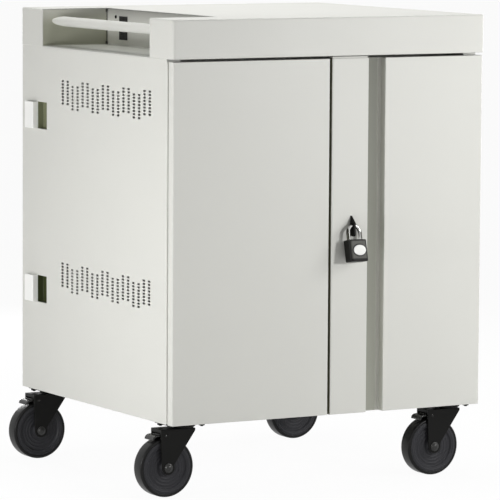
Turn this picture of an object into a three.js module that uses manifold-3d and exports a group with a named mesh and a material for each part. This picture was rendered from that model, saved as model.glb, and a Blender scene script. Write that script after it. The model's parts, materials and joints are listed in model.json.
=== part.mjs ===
// A laptop charging cart: a folded steel cabinet on four swivel casters, with two front doors, a padlocked
// hasp, a handle well in the top, slotted side panels, device racks inside and a service door at the back.
// Millimetres, +Z up. X points to the right and Y to the back of a person who faces the front doors.
import * as THREE from 'three';
import { mergeVertices } from 'three/addons/utils/BufferGeometryUtils.js';
import loadManifold from 'manifold-3d';

const wasm = await loadManifold();
wasm.setup();

// Sheet metal and clearances
const sheet = 1.5;
const seat = 0.3; // gap between pieces that rest on each other
const runningGap = 0.4; // radial gap of a pin or shaft in its hole
const overcut = 5; // how far a cutting tool runs past the face it cuts

// Casters
const wheelRadius = 63.5;
const wheelWidth = 34;
const wheelFacets = 24;
const wheelShoulder = 4;
const wheelHubRadius = 14;
const wheelWebHalf = 14;
const wheelRimInner = 46;
const wheelTrail = 42; // swivel axis to axle
const wheelToFork = 3;
const wheelToCrown = 11.5;
const hubPlay = 0.6;
const axleRadius = 5;
const axleHeadRadius = 9;
const axleHeadLength = 5;
const forkSheet = 3;
const forkBossRadius = 15;
const forkNose = 22; // crown ahead of the swivel axis
const forkNoseHeight = 5;
const forkHeel = 3; // crown behind the axle boss
const crownThickness = 7;
const swivelGap = 1;
const racewayRadius = 27;
const racewayHeight = 8;
const kingPinRadius = 6;
const kingPinHeadRadius = 10;
const kingPinHeadLength = 4;
const casterPlateThickness = 4;
const casterPlateGap = 2; // plate to the folded edges around it
const casterInsetX = 51; // side face to swivel axis
const casterInsetY = 54; // front or rear face to swivel axis
const pedalPivotRadius = 2.5;
const pedalBossRadius = 4;
const pedalPivotBehindAxle = 6;
const pedalReach = 30;
const pedalKnee = 14;
const pedalDrop = 4;
const pedalLip = 5;
const pedalThickness = 3.2;
const pedalSideGap = 1.5;

// Cabinet
const capWidth = 770;
const capDepth = 716;
const capHeight = 83;
const capOverhang = 2; // cap beyond the doors and side panels
const capEdgeRadius = 3;
const bodyHeight = 856; // lower edge of the doors to the top face
const panelDrop = 2; // doors and side panels hang below the base
const baseFlange = 25;
const apronHeight = 68;
const postWidth = 30;
const postDepth = 28;
const bayDepth = 440; // front posts to the partition
const shelfLip = 20;
const cableSlotLength = 640;
const cableSlotHeight = 28;
const cableSlotRise = 150; // floor of a bay to the cable slot

// Handle well
const wellLength = 507;
const wellWidth = 162;
const handleRadius = 11;
const handleInset = 35; // left face of the cap to the handle axis
const handleDrop = 27; // top face to the handle axis
const outletWidth = 36;
const outletHeight = 25;
const outletBezel = 2.2;
const outletDepth = 26;
const outletInset = 1.6; // bezel beyond the wall cut-out
const outletPitch = 27;
const outletDrop = 29; // top face to the centre of the upper outlet
const outletBehindMiddle = 174;
const bladeSlotHeight = 8;
const bladeSlotWidth = 2.4;
const bladeSpacing = 12.7;
const earthHole = 5;
const earthOffset = 11.9;
const socketDepth = 9;

// Vent slots of the side panels
const ventColumns = 18;
const ventColumnPitch = 24;
const ventFirstColumn = 105; // front face to the first column
const ventSlotWidth = 11;
const ventSlotHeight = 4.3;
const ventSlotPitch = 7;
const ventSlotsPerColumn = 8;
const ventStagger = 10; // every other pair of columns sits lower
const ventUpperDrop = 70; // cap to the top of the upper group
const ventLowerRise = 299; // lower edge of the panel to the top of the lower group

// Cord hooks
const hookWindowWidth = 50;
const hookWindowHeight = 60;
const hookBehind = 71; // rear face to the rear edge of the window
const hookUpperDrop = 124; // cap to the top of the upper window
const hookLowerRise = 200; // lower edge of the panel to the lower window
const hookStandOff = 8.5;
const hookFlange = 40;
const hookFoot = 18;
const hookSheet = 2;

// Doors
const doorThickness = 22;
const doorLip = 26;
const chamberLip = 8; // return lip beside the finger groove
const doorEdgeRadius = 2.5;
const doorTopGap = 6; // cap to the doors
const doorMiddleGap = 5.6;
const grooveFromMiddle = 93;
const grooveWidth = 43;
const grooveDepth = 18;
const rearDoorGap = 3;
const barrelRadius = 3.2;
const hingePinRadius = 1.3;
const hingeLeaf = 20;
const hingeLeafThickness = 1.2;
const hingeKnuckles = 5;
const knuckleGap = 0.5;
const knuckleRelief = 0.7;

// Hasp and padlock
const haspFromMiddle = 52.5;
const haspHoleRise = 408; // lower edge of the doors to the hasp hole
const haspHoleRadius = 5;
const haspHoleReach = 8.5; // door face to the hasp hole
const haspThickness = 4;
const haspEdge = 8; // hole centre to the front edge
const haspAbove = 20.5;
const haspBelow = 23;
const haspSlope = 15;
const haspCorner = 3;
const haspPlateWidth = 30;
const haspPlateThickness = 2;
const shackleRadius = 4;
const shackleSpacing = 33;
const shackleClearance = 27; // inside of the bend to the padlock body
const shackleLongLeg = 32;
const shackleShortLeg = 10;
const padlockWidth = 48;
const padlockThickness = 26;
const padlockHeight = 47;
const padlockCorner = 5;
const padlockChamfer = 1.5;
const facePlateHalfWidth = 16.5;
const facePlateHalfHeight = 11.3;
const facePlateThickness = 1.6;
const padlockTurn = THREE.MathUtils.degToRad(9);
const padlockLean = THREE.MathUtils.degToRad(13); // the body rests against the door and leans out

// Device racks and power
const rackSlots = 10;
const rackFin = 2.5;
const rackFloor = 2.5;
const rackHeight = 160;
const rackDepth = 360;
const rackSideGap = 20;
const rackFrontGap = 6;
const rackToe = 14;
const rackSweep = 120; // length of the raked front edge of a fin
const stripLength = 660;
const stripHeight = 62;
const stripDepth = 40;
const stripSockets = 12;
const stripSocket = 26;
const stripSocketDepth = 7;
const stripRise = 220; // floor of its bay to the strip
const inletWidth = 48;
const inletHeight = 28;
const inletFlange = 3;
const inletBodyWidth = 30;
const inletBodyHeight = 22;
const inletBodyDepth = 24;
const inletWall = 2;
const inletInset = 83; // side face to the middle of the inlet

// Cam lock of the rear door
const lockInset = 42; // free edge of the rear door to the lock
const lockRise = 350;
const lockRadius = 8;
const lockHeadRadius = 11;
const lockHeadLength = 3.5;
const lockStudRadius = 4;
const lockStudLength = 4.5;
const keywayWidth = 2.2;
const keywayHeight = 9;
const keywayDepth = 2.5;
const camReach = 34;
const camHalf = 7;
const camThickness = 2.5;
const camGap = 2.4; // stop flange to the cam
const stopWidth = 23;
const stopDepth = 30;

// Levels and planes that the pieces share
const crownUnderside = 2 * wheelRadius + wheelToCrown;
const crownTop = crownUnderside + crownThickness;
const racewayUnderside = crownTop + swivelGap;
const plateUnderside = racewayUnderside + racewayHeight;
const baseUnderside = plateUnderside + casterPlateThickness + seat;
const baseTop = baseUnderside + sheet;
const bodyBottom = baseUnderside - panelDrop;
const topFace = bodyBottom + bodyHeight;
const capBottom = topFace - capHeight;
const panelTop = capBottom - seat;
const deckUnderside = panelTop - sheet;
const doorTop = capBottom - doorTopGap;
const sideFace = capWidth / 2 - capOverhang;
const innerSide = sideFace - sheet;
const bayHalf = innerSide - sheet - 3 * seat;
const rearFace = capDepth / 2 - capOverhang;
const frontFace = -rearFace;
const hingeSpace = 2 * (barrelRadius + seat);
const doorBack = frontFace + doorThickness;
const postFace = doorBack + hingeSpace;
const shelfFront = postFace + postDepth + seat;
const partitionFront = postFace + bayDepth;
const shelfTop = (baseTop + deckUnderside) / 2;
const rearDoorInner = rearFace - doorThickness;
const rearDoorBottom = baseUnderside + apronHeight + rearDoorGap;
const wellWall = wellWidth - capWidth / 2;
const casterPlateLength = 2 * (casterInsetX - sheet - casterPlateGap);
const casterPlateWidth = 2 * (casterInsetY - doorThickness - casterPlateGap);
const channelHalf = wheelWidth / 2 + wheelToFork;
const forkHalf = channelHalf + forkSheet;
const lockX = rearDoorGap + lockInset - innerSide;
const lockZ = rearDoorBottom + lockRise;
const stopFlange = rearDoorInner - seat;
const camFace = stopFlange - sheet - camGap;

const finishes = {
  powderCoat: { color: 0xd6d6d0, roughness: 0.45, metalness: 0.1 },
  zinc: { color: 0xb4b6b8, roughness: 0.35, metalness: 0.9 },
  chrome: { color: 0xe2e3e4, roughness: 0.12, metalness: 1 },
  blackPaint: { color: 0x1d1d1b, roughness: 0.5, metalness: 0.2 },
  blackPlastic: { color: 0x161616, roughness: 0.45, metalness: 0 },
  tread: { color: 0x38393a, roughness: 0.6, metalness: 0 },
  rackPlastic: { color: 0x3b3d40, roughness: 0.55, metalness: 0 },
  enamel: { color: 0xf4f4f0, roughness: 0.3, metalness: 0 },
};

// Solids from geometries and back
function toSolid(geometry) {
  geometry.deleteAttribute('normal');
  geometry.deleteAttribute('uv');
  const merged = mergeVertices(geometry, 1e-4);
  const corners = merged.index.array;
  const triangles = [];
  for (let i = 0; i < corners.length; i += 3) {
    const [a, b, c] = corners.subarray(i, i + 3);
    if (a !== b && b !== c && c !== a) triangles.push(a, b, c);
  }
  const vertProperties = new Float32Array(merged.attributes.position.array);
  const triVerts = new Uint32Array(triangles);
  return new wasm.Manifold(new wasm.Mesh({ numProp: 3, vertProperties, triVerts }));
}

function toGeometry(solid) {
  const { vertProperties, triVerts } = solid.getMesh();
  const geometry = new THREE.BufferGeometry();
  geometry.setAttribute('position', new THREE.BufferAttribute(new Float32Array(vertProperties), 3));
  geometry.setIndex(new THREE.BufferAttribute(new Uint32Array(triVerts), 1));
  geometry.computeVertexNormals();
  return geometry;
}

function addPiece(parent, name, solid, finish) {
  const mesh = new THREE.Mesh(toGeometry(solid), new THREE.MeshStandardMaterial(finishes[finish]));
  mesh.name = name;
  parent.add(mesh);
}

// Basic solids: a block between limits, outlines carried along an axis, rods and revolved profiles
function block(x, y, z) {
  const geometry = new THREE.BoxGeometry();
  const corners = geometry.attributes.position;
  const limit = (range, value) => range[value > 0 ? 1 : 0];
  for (let i = 0; i < corners.count; i += 1) {
    corners.setXYZ(i, limit(x, corners.getX(i)), limit(y, corners.getY(i)), limit(z, corners.getZ(i)));
  }
  return toSolid(geometry);
}

function outline(points) {
  return new THREE.Shape(points.map(([a, b]) => new THREE.Vector2(a, b)));
}

const axisX = new THREE.Vector3(1, 0, 0);
const axisY = new THREE.Vector3(0, 1, 0);
const axisZ = new THREE.Vector3(0, 0, 1);

function extrude(shape, depth, curveSegments = 4) {
  return new THREE.ExtrudeGeometry(shape, { depth, bevelEnabled: false, curveSegments });
}

// The outline holds (y, z) pairs
function prismX(shape, [x0, x1], curveSegments) {
  const place = new THREE.Matrix4().makeBasis(axisY, axisZ, axisX).setPosition(x0, 0, 0);
  return toSolid(extrude(shape, x1 - x0, curveSegments).applyMatrix4(place));
}

// The outline holds (x, z) pairs
function prismY(shape, [y0, y1], curveSegments) {
  const place = new THREE.Matrix4().makeBasis(axisX, axisZ, axisY.clone().negate()).setPosition(0, y1, 0);
  return toSolid(extrude(shape, y1 - y0, curveSegments).applyMatrix4(place));
}

// The outline holds (x, y) pairs
function prismZ(shape, [z0, z1], curveSegments) {
  return toSolid(extrude(shape, z1 - z0, curveSegments).translate(0, 0, z0));
}

function rodX(radius, [x0, x1], [y, z], sides = 12) {
  const geometry = new THREE.CylinderGeometry(radius, radius, x1 - x0, sides);
  return toSolid(geometry.rotateZ(-Math.PI / 2).translate((x0 + x1) / 2, y, z));
}

function rodY(radius, [y0, y1], [x, z], sides = 12) {
  const geometry = new THREE.CylinderGeometry(radius, radius, y1 - y0, sides);
  return toSolid(geometry.translate(x, (y0 + y1) / 2, z));
}

function rodZ(radius, [z0, z1], [x, y] = [0, 0], sides = 12) {
  const geometry = new THREE.CylinderGeometry(radius, radius, z1 - z0, sides);
  return toSolid(geometry.rotateX(Math.PI / 2).translate(x, y, (z0 + z1) / 2));
}

// Revolved about Y from (radius, height) pairs that start and end on the axis or close on themselves
function revolve(points, sides, phase = 0) {
  return new THREE.LatheGeometry(points.map(([r, h]) => new THREE.Vector2(r, h)), sides, phase);
}

function roundedRectangle([x0, x1], [y0, y1], radius) {
  const shape = new THREE.Shape();
  shape.absarc(x1 - radius, y0 + radius, radius, -Math.PI / 2, 0);
  shape.absarc(x1 - radius, y1 - radius, radius, 0, Math.PI / 2);
  shape.absarc(x0 + radius, y1 - radius, radius, Math.PI / 2, Math.PI);
  shape.absarc(x0 + radius, y0 + radius, radius, Math.PI, 1.5 * Math.PI);
  return shape;
}

// All tools are joined before the one cut, so that no cut crosses the triangles of an earlier one
function cut(solid, tools) {
  return solid.subtract(tools.reduce((joined, tool) => joined.add(tool)));
}

const mirrored = (from, to) => [Math.min(from, to), Math.max(from, to)];

// Limits in y and z of the slots of one vent group: pairs of columns sit high and low in turn
function ventSlots(groupTop) {
  const slots = [];
  for (let column = 0; column < ventColumns; column += 1) {
    const y = frontFace + ventFirstColumn + column * ventColumnPitch;
    const low = Math.floor(column / 2) % 2 === 1;
    const top = groupTop - (low ? ventStagger : 0);
    for (let slot = 0; slot < ventSlotsPerColumn; slot += 1) {
      const z = top - slot * ventSlotPitch;
      slots.push([[y - ventSlotWidth / 2, y + ventSlotWidth / 2], [z - ventSlotHeight, z]]);
    }
  }
  return slots;
}

const hookWindowBack = rearFace - hookBehind;
const hookBottoms = {
  upper: panelTop - hookUpperDrop - hookWindowHeight,
  lower: bodyBottom + hookLowerRise,
};

function sidePanel(side) {
  const openings = ventSlots(panelTop - ventUpperDrop);
  openings.push(...ventSlots(bodyBottom + ventLowerRise));
  if (side < 0) {
    for (const bottom of Object.values(hookBottoms)) {
      const across = [hookWindowBack - hookWindowWidth, hookWindowBack];
      openings.push([across, [bottom, bottom + hookWindowHeight]]);
    }
  }
  const [inner, outer] = mirrored(side * innerSide, side * sideFace);
  const panel = block([inner, outer], [postFace, rearFace], [bodyBottom, panelTop]);
  return cut(panel, openings.map(([across, up]) => block([inner - overcut, outer + overcut], across, up)));
}

// A bent strip: foot behind the panel, leg out through the window, flange towards the back
function cordHook(bottom) {
  const legBack = hookWindowBack - seat;
  const footFace = seat - innerSide;
  const flangeFace = -sideFace - hookStandOff;
  const profile = outline([
    [footFace + hookSheet, legBack - hookSheet],
    [footFace + hookSheet, legBack + hookFoot],
    [footFace, legBack + hookFoot],
    [footFace, legBack],
    [flangeFace, legBack],
    [flangeFace, legBack + hookFlange],
    [flangeFace - hookSheet, legBack + hookFlange],
    [flangeFace - hookSheet, legBack - hookSheet],
  ]);
  return prismZ(profile, [bottom + seat, bottom + hookWindowHeight - seat]);
}

// Base tray: floor plate, side flanges and the apron under the rear door
function basePan() {
  const half = innerSide - seat;
  const tray = outline([
    [postFace, baseUnderside], [rearFace, baseUnderside], [rearFace, baseUnderside + apronHeight],
    [rearFace - sheet, baseUnderside + apronHeight], [rearFace - sheet, baseTop], [postFace, baseTop],
  ]);
  let pan = prismX(tray, [-half, half]);
  for (const side of [-1, 1]) {
    const flange = mirrored(side * (half - seat), side * (half - seat - sheet));
    const along = [shelfFront, rearFace - sheet / 2];
    pan = pan.add(block(flange, along, [baseTop - sheet / 2, baseTop + baseFlange]));
  }
  const across = inletBodyWidth / 2 + seat;
  const up = inletBodyHeight / 2 + seat;
  const hole = block([inletX() - across, inletX() + across],
    [rearFace - sheet - overcut, rearFace + overcut], [inletZ() - up, inletZ() + up]);
  return pan.subtract(hole);
}

function inletX() {
  return inletInset - sideFace;
}

function inletZ() {
  return baseUnderside + apronHeight / 2;
}

// Mains inlet: flange outside the apron, body inside it, recess open to the back
function powerInlet() {
  const x = inletX();
  const z = inletZ();
  const span = (size) => [x - size / 2, x + size / 2];
  const rise = (size) => [z - size / 2, z + size / 2];
  const flangeBack = rearFace + seat;
  const flange = block(span(inletWidth), [flangeBack, flangeBack + inletFlange], rise(inletHeight));
  const body = block(span(inletBodyWidth), [flangeBack - inletBodyDepth, flangeBack + inletFlange / 2],
    rise(inletBodyHeight));
  const recess = block(span(inletBodyWidth - 2 * inletWall),
    [flangeBack - inletBodyDepth + inletWall, flangeBack + inletFlange + overcut],
    rise(inletBodyHeight - 2 * inletWall));
  return flange.add(body).subtract(recess);
}

// Door jamb: a channel with its web towards the door
function frontPost(side) {
  const outer = innerSide - seat;
  const inner = outer - postWidth;
  const back = postFace + postDepth;
  const profile = [
    [outer, postFace], [outer, back], [outer - sheet, back], [outer - sheet, postFace + sheet],
    [inner + sheet, postFace + sheet], [inner + sheet, back], [inner, back], [inner, postFace],
  ];
  const points = profile.map(([x, y]) => [side * x, y]);
  return prismZ(outline(points), [baseTop + seat, deckUnderside - seat]);
}

// Angle on the left side panel that stops the rear door and holds the lock's cam
function rearStop() {
  const outer = seat - innerSide;
  const profile = outline([
    [outer, stopFlange], [outer, stopFlange - stopDepth],
    [outer + sheet, stopFlange - stopDepth], [outer + sheet, stopFlange - sheet],
    [outer + stopWidth, stopFlange - sheet], [outer + stopWidth, stopFlange],
  ]);
  return prismZ(profile, [baseTop + baseFlange + seat, deckUnderside - seat]);
}

function topDeck() {
  const half = innerSide - seat;
  return block([-half, half], [postFace, rearFace], [deckUnderside, panelTop]);
}

// Lid: rounded outer form, hollow underneath, with the notch of the handle well cut from its left end
function topCap() {
  const halfX = capWidth / 2;
  const halfY = capDepth / 2;
  const bevel = {
    bevelSize: capEdgeRadius, bevelThickness: capEdgeRadius, bevelSegments: 3, curveSegments: 4,
  };
  const inset = roundedRectangle([capEdgeRadius - halfX, halfX - capEdgeRadius],
    [capEdgeRadius - halfY, halfY - capEdgeRadius], capEdgeRadius);
  const height = capHeight + overcut;
  const form = new THREE.ExtrudeGeometry(inset, { depth: height - 2 * capEdgeRadius, ...bevel });
  const rounded = toSolid(form.translate(0, 0, topFace - height + capEdgeRadius));
  const inside = roundedRectangle([sheet - halfX, halfX - sheet], [sheet - halfY, halfY - sheet],
    2 * capEdgeRadius - sheet);
  const hollow = prismZ(inside, [topFace - height - overcut, topFace - sheet]);
  const below = block([-capWidth, capWidth], [-capDepth, capDepth], [topFace - height - overcut, capBottom]);
  const notch = block([-halfX - overcut, wellWall], [-wellLength / 2, wellLength / 2],
    [topFace - height - overcut, topFace + overcut]);
  return rounded.subtract(hollow).subtract(below).subtract(notch);
}

function outletPlace(index) {
  return { y: outletBehindMiddle, z: topFace - outletDrop - index * outletPitch };
}

// Folded tub under the notch: floor, inner wall with two outlet cut-outs and the two end walls
function handleWell() {
  const left = sheet + seat - capWidth / 2;
  const half = wellLength / 2 + seat;
  const top = topFace - sheet - seat;
  const wall = wellWall + seat;
  const outer = block([left, wall + sheet], [-half - sheet, half + sheet], [capBottom, top]);
  const inner = block([left - overcut, wall], [-half, half], [capBottom + sheet, top + overcut]);
  const tub = outer.subtract(inner);
  const holes = [0, 1].map((index) => {
    const { y, z } = outletPlace(index);
    const across = outletWidth / 2 - outletInset + seat;
    const up = outletHeight / 2 - outletInset + seat;
    return block([wall - overcut, wall + sheet + overcut], [y - across, y + across], [z - up, z + up]);
  });
  return cut(tub, holes);
}

function handleBar() {
  const half = wellLength / 2;
  const centre = [handleInset - capWidth / 2, topFace - handleDrop];
  return rodY(handleRadius, [-half, half], centre, 20);
}

// Snap-in outlet that faces the left: bezel on the wall, body behind it, two blade slots and an earth hole
function convenienceOutlet(index) {
  const { y, z } = outletPlace(index);
  const wall = wellWall + seat;
  const face = wall - seat - outletBezel;
  const across = outletWidth / 2 - outletInset;
  const up = outletHeight / 2 - outletInset;
  const bezel = block([face, wall - seat], [y - outletWidth / 2, y + outletWidth / 2],
    [z - outletHeight / 2, z + outletHeight / 2]);
  let outlet = bezel.add(block([face + outletBezel / 2, face + outletDepth], [y - across, y + across],
    [z - up, z + up]));
  const deep = [face - overcut, face + socketDepth];
  const bladeY = y - earthOffset / 2;
  for (const side of [-1, 1]) {
    const bladeZ = z + side * bladeSpacing / 2;
    outlet = outlet.subtract(block(deep, [bladeY - bladeSlotHeight / 2, bladeY + bladeSlotHeight / 2],
      [bladeZ - bladeSlotWidth / 2, bladeZ + bladeSlotWidth / 2]));
  }
  return outlet.subtract(rodX(earthHole / 2, deep, [bladeY + earthOffset, z], 8));
}

// Shelf with turned-down edges at the front and the sides
function midShelf() {
  const back = partitionFront - seat;
  const outer = block([-bayHalf, bayHalf], [shelfFront, back], [shelfTop - shelfLip, shelfTop]);
  const under = block([sheet - bayHalf, bayHalf - sheet], [shelfFront + sheet, back + overcut],
    [shelfTop - shelfLip - overcut, shelfTop - sheet]);
  return outer.subtract(under);
}

// Wall between devices and power, with a round-ended cable slot above the floor of each bay
function bayPartition() {
  const [front, back] = [partitionFront, partitionFront + sheet];
  const wall = block([-bayHalf, bayHalf], [front, back], [baseTop + seat, deckUnderside - seat]);
  const slots = [baseTop, shelfTop].map((floor) => {
    const rise = [floor + cableSlotRise, floor + cableSlotRise + cableSlotHeight];
    const shape = roundedRectangle([-cableSlotLength / 2, cableSlotLength / 2], rise, cableSlotHeight / 2);
    return prismY(shape, [front - overcut, back + overcut], 6);
  });
  return cut(wall, slots);
}

// Moulded comb: the profile of floor and fins, cut to the raked side view of a fin
function dividerRack(floor) {
  const half = bayHalf - rackSideGap;
  const bottom = floor + seat;
  const pitch = (2 * half - rackFin) / rackSlots;
  const points = [[-half, bottom]];
  for (let fin = rackSlots; fin >= 0; fin -= 1) {
    const left = -half + fin * pitch;
    const foot = bottom + rackFloor;
    const top = bottom + rackHeight;
    if (fin === rackSlots) points.push([half, bottom]);
    else points.push([left + rackFin, foot]);
    points.push([left + rackFin, top], [left, top]);
    if (fin > 0) points.push([left, foot]);
  }
  const front = shelfFront + rackFrontGap;
  const back = front + rackDepth;
  const side = new THREE.Shape();
  side.moveTo(front, bottom);
  side.lineTo(back, bottom);
  side.lineTo(back, bottom + rackHeight);
  side.lineTo(front + rackSweep, bottom + rackHeight);
  side.quadraticCurveTo(front + rackToe, bottom + rackHeight, front, bottom + rackToe);
  const comb = prismY(outline(points), [front, back]);
  return comb.intersect(prismX(side, [-half - overcut, half + overcut], 5));
}

// Power strip on the back of the partition, with a row of square sockets
function powerStrip(floor) {
  const front = partitionFront + sheet + seat;
  const back = front + stripDepth;
  const bottom = floor + stripRise;
  const middle = bottom + stripHeight / 2;
  const strip = block([-stripLength / 2, stripLength / 2], [front, back], [bottom, bottom + stripHeight]);
  const pitch = stripLength / stripSockets;
  const sockets = [];
  for (let socket = 0; socket < stripSockets; socket += 1) {
    const x = -stripLength / 2 + (socket + 0.5) * pitch;
    sockets.push(block([x - stripSocket / 2, x + stripSocket / 2], [back - stripSocketDepth, back + overcut],
      [middle - stripSocket / 2, middle + stripSocket / 2]));
  }
  return cut(strip, sockets);
}

// Folded door pan: rounded outer form, hollow, open at the back inside a lip. The hollow is split into
// chambers, which are pairs of x limits.
function doorPan([x0, x1], [y0, y1], [z0, z1], chambers, openSide) {
  let pan = prismZ(roundedRectangle([x0, x1], [y0, y1], doorEdgeRadius), [z0, z1], 3);
  const through = openSide > 0 ? [y1 - 2 * sheet, y1 + overcut] : [y0 - overcut, y0 + 2 * sheet];
  for (const [left, right] of chambers) {
    const inside = [left + sheet, right - sheet];
    const window = [left + (left > x0 ? chamberLip : doorLip), right - (right < x1 ? chamberLip : doorLip)];
    pan = pan.subtract(block(inside, [y0 + sheet, y1 - sheet], [z0 + sheet, z1 - sheet]));
    pan = pan.subtract(block(window, through, [z0 + doorLip, z1 - doorLip]));
  }
  return pan;
}

function leftDoor() {
  const across = [-sideFace, -doorMiddleGap / 2];
  return doorPan(across, [frontFace, doorBack], [bodyBottom, doorTop], [across], 1);
}

// The right door carries the strip with the hasp, the finger groove and the main panel
function rightDoor() {
  const across = [doorMiddleGap / 2, sideFace];
  const groove = [grooveFromMiddle, grooveFromMiddle + grooveWidth];
  const chambers = [[across[0], groove[0]], [groove[1], across[1]]];
  const pan = doorPan(across, [frontFace, doorBack], [bodyBottom, doorTop], chambers, 1);
  const trough = block(groove, [frontFace - overcut, frontFace + grooveDepth],
    [bodyBottom - overcut, doorTop + overcut]);
  const halfSlot = haspThickness / 2 + seat;
  const slot = block([haspFromMiddle - halfSlot, haspFromMiddle + halfSlot],
    [frontFace - overcut, frontFace + sheet + overcut],
    [haspHoleZ() - haspBelow - seat, haspHoleZ() + haspAbove + seat]);
  return pan.subtract(trough).subtract(slot);
}

function haspHoleZ() {
  return bodyBottom + haspHoleRise;
}

// Fin through the slot of the strip, with a plate behind the skin
function haspTab() {
  const z = haspHoleZ();
  const inside = frontFace + sheet + seat;
  const tip = frontFace - haspHoleReach - haspEdge;
  const fin = outline([
    [inside + haspPlateThickness, z - haspBelow],
    [inside + haspPlateThickness, z + haspAbove],
    [frontFace, z + haspAbove],
    [tip, z + haspAbove - haspSlope],
    [tip, z - haspBelow + haspCorner],
    [tip + haspCorner, z - haspBelow],
  ]);
  const across = [haspFromMiddle - haspThickness / 2, haspFromMiddle + haspThickness / 2];
  const plate = block([haspFromMiddle - haspPlateWidth / 2, haspFromMiddle + haspPlateWidth / 2],
    [inside, inside + haspPlateThickness], [z - haspBelow, z + haspAbove]);
  const through = [across[0] - overcut, across[1] + overcut];
  const hole = rodX(haspHoleRadius, through, [frontFace - haspHoleReach, z], 16);
  return prismX(fin, across).add(plate).subtract(hole);
}

// Shackle centre line: down leg, half circle over the hasp, down leg
class ShackleLine extends THREE.Curve {
  getPoint(t) {
    const bend = shackleSpacing / 2;
    const straight = shackleClearance + shackleRadius - bend;
    const long = straight + shackleLongLeg;
    const short = straight + shackleShortLeg;
    const arc = Math.PI * bend;
    const along = t * (long + arc + short);
    if (along < long) return new THREE.Vector3(-bend, 0, along - long - bend);
    if (along > long + arc) return new THREE.Vector3(bend, 0, long + arc - along - bend);
    const angle = Math.PI - (along - long) / bend;
    return new THREE.Vector3(bend * Math.cos(angle), 0, bend * Math.sin(angle) - bend);
  }
}

function padlockShackle() {
  const section = new THREE.Shape();
  section.absarc(0, 0, shackleRadius, 0, 2 * Math.PI);
  const options = { steps: 22, curveSegments: 4, extrudePath: new ShackleLine() };
  return toSolid(new THREE.ExtrudeGeometry(section, options));
}

const padlockTop = -shackleClearance - shackleRadius;

function padlockBody() {
  const half = padlockWidth / 2 - padlockChamfer;
  const thin = padlockThickness / 2 - padlockChamfer;
  const plan = roundedRectangle([-half, half], [-thin, thin], padlockCorner);
  const depth = padlockHeight - 2 * padlockChamfer;
  const bevel = {
    bevelSize: padlockChamfer, bevelThickness: padlockChamfer, bevelSegments: 1, curveSegments: 3,
  };
  const form = new THREE.ExtrudeGeometry(plan, { depth, ...bevel });
  let body = toSolid(form.translate(0, 0, padlockTop - padlockHeight + padlockChamfer));
  const legs = [[-1, shackleLongLeg], [1, shackleShortLeg]];
  for (const [side, leg] of legs) {
    const bore = [padlockTop - leg - 2 * seat, padlockTop + overcut];
    body = body.subtract(rodZ(shackleRadius + runningGap, bore, [side * shackleSpacing / 2, 0], 12));
  }
  return body;
}

// Oval plate on the front of the padlock
function padlockFacePlate() {
  const front = -padlockThickness / 2 - seat;
  const shape = new THREE.Shape();
  const centre = padlockTop - padlockHeight / 2;
  shape.absellipse(0, centre, facePlateHalfWidth, facePlateHalfHeight, 0, 2 * Math.PI);
  return prismY(shape, [front - facePlateThickness, front], 12);
}

// Continuous hinge about its own Z axis: leaves lie along +X, the frame leaf on the side given
function hingeLeafSolid(side, firstKnuckle, [z0, z1]) {
  const outer = side * (barrelRadius - knuckleRelief / 2);
  const pitch = (z1 - z0) / hingeKnuckles;
  const start = barrelRadius + knuckleRelief;
  const knuckles = [];
  const edge = [[hingeLeaf, z0], [hingeLeaf, z1], [start, z1]];
  for (let knuckle = hingeKnuckles - 1; knuckle >= 0; knuckle -= 1) {
    if (knuckle % 2 !== firstKnuckle) continue;
    const low = z0 + knuckle * pitch + knuckleGap / 2;
    const high = z0 + (knuckle + 1) * pitch - knuckleGap / 2;
    edge.push([start, high], [0, high], [0, low], [start, low]);
    knuckles.push(rodZ(barrelRadius, [low - knuckleGap / 8, high + knuckleGap / 8], [0, 0], 10));
  }
  edge.push([start, z0]);
  const plate = prismY(outline(edge), mirrored(outer, outer - side * hingeLeafThickness));
  const bore = rodZ(hingePinRadius + runningGap, [z0 - overcut, z1 + overcut], [0, 0], 8);
  return knuckles.reduce((leaf, knuckle) => leaf.add(knuckle), plate).subtract(bore);
}

function addHinge(parent, name, [x, y], turn, frameSide, span) {
  const hinge = new THREE.Group();
  hinge.position.set(x, y, 0);
  hinge.rotation.z = turn;
  addPiece(hinge, `${name}_hinge_frame_leaf`, hingeLeafSolid(frameSide, 0, span), 'powderCoat');
  addPiece(hinge, `${name}_hinge_door_leaf`, hingeLeafSolid(-frameSide, 1, span), 'powderCoat');
  addPiece(hinge, `${name}_hinge_pin`, rodZ(hingePinRadius, span, [0, 0], 8), 'zinc');
  parent.add(hinge);
}

// Service door between the side panels, with a hole for its lock
function rearDoor() {
  const across = [rearDoorGap - innerSide, innerSide - hingeSpace];
  const pan = doorPan(across, [rearDoorInner, rearFace], [rearDoorBottom, doorTop], [across], -1);
  const through = [rearFace - sheet - overcut, rearFace + overcut];
  return pan.subtract(rodY(lockRadius + runningGap, through, [lockX, lockZ], 16));
}

function lockCylinder() {
  const shoulder = camFace + seat;
  const head = rearFace + seat;
  const face = head + lockHeadLength;
  const studEnd = camFace - camThickness - lockStudLength;
  const profile = revolve([
    [0, studEnd], [lockStudRadius, studEnd], [lockStudRadius, shoulder], [lockRadius, shoulder],
    [lockRadius, head], [lockHeadRadius, head], [lockHeadRadius, face], [0, face],
  ], 16);
  const cylinder = toSolid(profile.translate(lockX, 0, lockZ));
  const keyway = block([lockX - keywayWidth / 2, lockX + keywayWidth / 2],
    [face - keywayDepth, face + overcut], [lockZ - keywayHeight / 2, lockZ + keywayHeight / 2]);
  return cylinder.subtract(keyway);
}

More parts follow.
